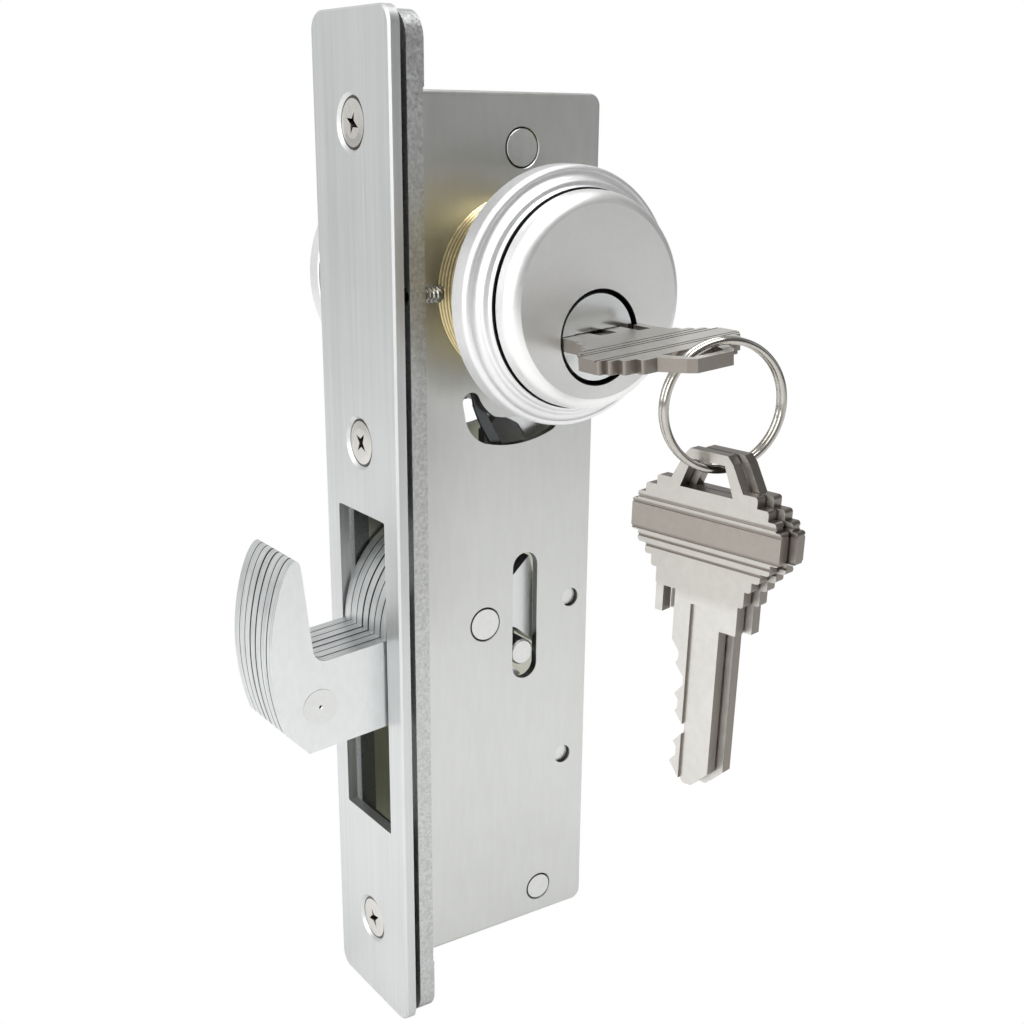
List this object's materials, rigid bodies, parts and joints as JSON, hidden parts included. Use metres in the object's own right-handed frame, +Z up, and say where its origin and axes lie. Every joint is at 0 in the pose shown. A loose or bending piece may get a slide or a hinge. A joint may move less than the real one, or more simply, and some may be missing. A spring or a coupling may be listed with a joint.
{
  "type": "mortise lock",
  "caption": "Narrow-stile mortise lock with a swinging laminated hook bolt, a flat faceplate, back-to-back key cylinders and a ring of keys.",
  "frame": {"origin": "midway between the two stile screw holes, on the front face of the mounting strap", "axes": "+X into the door stile, +Y from the near cylinder to the far one, +Z up the faceplate; the hook reaches to -X"},
  "size_m": [0.0656, 0.1031, 0.1746],
  "materials": {
    "faceplate_aluminium": "satin, fine brushing up the plate",
    "nickel_screw": "nickel plated",
    "zinc_strap": "dull zinc, rough",
    "zinc_plate": "satin zinc",
    "rivet_steel": "satin zinc",
    "bolt_steel": "satin zinc",
    "link_steel": "plain steel",
    "cylinder_brass": "brass body with a satin chrome head",
    "trim_aluminium": "satin",
    "plug_chrome": "chrome plated",
    "pin_brass": "plain",
    "spring_steel": "plain",
    "dark_screw": "blackened",
    "nickel_silver": "nickel silver, milled",
    "ring_steel": "nickel plated wire"
  },
  "bodies": {
    "case": {"faceplate": "faceplate_aluminium", "faceplate_screws": "nickel_screw", "mounting_strap": "zinc_strap", "near_side_plate": "zinc_plate", "far_side_plate": "zinc_plate", "top_case_rivet": "rivet_steel", "bottom_case_rivet": "rivet_steel", "bolt_pivot_pin": "rivet_steel", "stop_pins": "rivet_steel", "near_cylinder_body": "cylinder_brass", "near_trim_ring": "trim_aluminium", "near_driver_pins": "pin_brass", "near_pin_springs": "spring_steel", "near_set_screw": "dark_screw", "far_cylinder_body": "cylinder_brass", "far_trim_ring": "trim_aluminium", "far_driver_pins": "pin_brass", "far_pin_springs": "spring_steel", "far_set_screw": "dark_screw"},
    "bolt": {"bolt_lamination_1": "bolt_steel", "bolt_lamination_2": "bolt_steel", "bolt_lamination_3": "bolt_steel", "bolt_lamination_4": "bolt_steel", "bolt_lamination_5": "bolt_steel", "bolt_lamination_6": "bolt_steel", "bolt_lamination_7": "bolt_steel", "bolt_nose_rivet": "rivet_steel"},
    "link": {"lift_link": "link_steel", "follower_cheeks": "link_steel", "link_rivets": "rivet_steel", "link_pin": "rivet_steel"},
    "near_plug": {"near_plug": "plug_chrome", "near_cam": "link_steel", "near_cam_screws": "nickel_screw", "near_bottom_pins": "pin_brass", "inserted_key": "nickel_silver"},
    "far_plug": {"far_plug": "plug_chrome", "far_cam": "link_steel", "far_cam_screws": "nickel_screw", "far_bottom_pins": "pin_brass"},
    "key_ring": {"key_ring": "ring_steel"},
    "spare_key_1": {"spare_key_1": "nickel_silver"},
    "spare_key_2": {"spare_key_2": "nickel_silver"}
  },
  "joints": [
    {"name": "bolt_swing", "type": "hinge", "parent": "case", "child": "bolt", "pos_m": [0.0162, 0, -0.01325], "axis": [0, -1, 0], "range_deg": [-6, 87.5]},
    {"name": "lift_slide", "type": "slide", "parent": "case", "child": "link", "axis": [0, 0, 1], "range_m": [-0.00108, 0.01546]},
    {"name": "near_plug_turn", "type": "hinge", "parent": "case", "child": "near_plug", "pos_m": [0.0217, 0, 0.0398], "axis": [0, -1, 0], "range_deg": [-4.98, 71.22]},
    {"name": "far_plug_turn", "type": "hinge", "parent": "case", "child": "far_plug", "pos_m": [0.0217, 0, 0.0398], "axis": [0, -1, 0], "range_deg": [-170, 15]},
    {"name": "key_ring_swing", "type": "hinge", "parent": "near_plug", "child": "key_ring", "pos_m": [0.02645, -0.05675, 0.04022], "axis": [0.2756, 0.9613, 0], "range_deg": [-15, 2]},
    {"name": "spare_key_1_swing", "type": "hinge", "parent": "key_ring", "child": "spare_key_1", "pos_m": [0.02484, -0.05639, 0.02354], "axis": [-0.9744, -0.225, 0], "range_deg": [-14, 14]},
    {"name": "spare_key_2_swing", "type": "hinge", "parent": "key_ring", "child": "spare_key_2", "pos_m": [0.02736, -0.05711, 0.02354], "axis": [-0.9744, -0.225, 0], "range_deg": [-14, 14]}
  ],
  "couplings": [
    {"joint": "lift_slide", "follows": "bolt_swing", "m_per_rad": 0.010111},
    {"joint": "near_plug_turn", "follows": "bolt_swing", "ratio": 0.81285}
  ]
}
